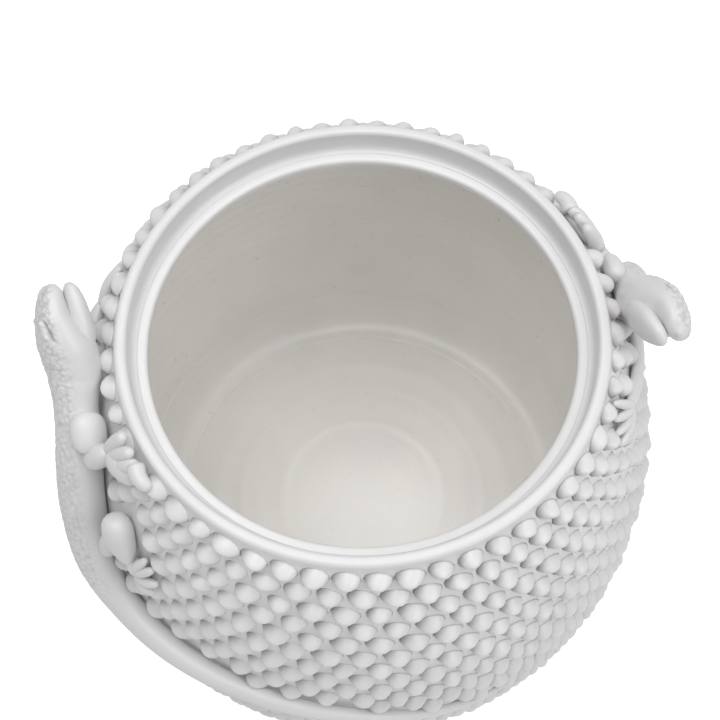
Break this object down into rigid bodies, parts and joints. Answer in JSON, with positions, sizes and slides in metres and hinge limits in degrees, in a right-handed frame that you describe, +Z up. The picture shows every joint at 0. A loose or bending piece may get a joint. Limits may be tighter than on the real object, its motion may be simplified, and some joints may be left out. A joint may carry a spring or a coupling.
{
  "type": "kitchen canister",
  "caption": "Open ceramic canister: a barrel covered with staggered pointed studs, a seat for a lid inside its rim, and a lizard clinging to each side as a handle.",
  "frame": {"origin": "centre of the foot, on the table", "axes": "+Z up along the jar's axis; the lizards are on the -X and +X sides; the picture looks along +Y"},
  "size_m": [0.222, 0.2245, 0.1923],
  "materials": {
    "jar_glaze": "gloss",
    "inside_glaze": "gloss",
    "lizard_glaze": "satin",
    "bare_foot": "matte"
  },
  "bodies": {
    "root": {"jar_wall": "jar_glaze", "lid_ledge": "jar_glaze", "rim_lip": "jar_glaze", "floor_disc": "inside_glaze", "corner_coil": "inside_glaze", "foot_ring": "bare_foot", "stud_row_01": "jar_glaze", "stud_row_02": "jar_glaze", "stud_row_03": "jar_glaze", "stud_row_04": "jar_glaze", "stud_row_05": "jar_glaze", "stud_row_06": "jar_glaze", "stud_row_07": "jar_glaze", "stud_row_08": "jar_glaze", "stud_row_09": "jar_glaze", "stud_row_10": "jar_glaze", "stud_row_11": "jar_glaze", "stud_row_12": "jar_glaze", "stud_row_13": "jar_glaze", "stud_row_14": "jar_glaze", "stud_row_15": "jar_glaze", "stud_row_16": "jar_glaze", "stud_row_17": "jar_glaze", "stud_row_18": "jar_glaze", "stud_row_19": "jar_glaze", "stud_row_20": "jar_glaze", "left_lizard_body": "lizard_glaze", "left_lizard_tail": "lizard_glaze", "left_lizard_skull": "lizard_glaze", "left_lizard_jaw": "lizard_glaze", "left_lizard_eyes": "lizard_glaze", "left_lizard_upper_foreleg": "lizard_glaze", "left_lizard_lower_foreleg": "lizard_glaze", "left_lizard_upper_hindleg": "lizard_glaze", "left_lizard_lower_hindleg": "lizard_glaze", "left_lizard_upper_feet": "lizard_glaze", "left_lizard_lower_feet": "lizard_glaze", "right_lizard_body": "lizard_glaze", "right_lizard_tail": "lizard_glaze", "right_lizard_skull": "lizard_glaze", "right_lizard_jaw": "lizard_glaze", "right_lizard_eyes": "lizard_glaze", "right_lizard_upper_foreleg": "lizard_glaze", "right_lizard_lower_foreleg": "lizard_glaze", "right_lizard_upper_hindleg": "lizard_glaze", "right_lizard_lower_hindleg": "lizard_glaze", "right_lizard_upper_feet": "lizard_glaze", "right_lizard_lower_feet": "lizard_glaze"}
  },
  "joints": []
}
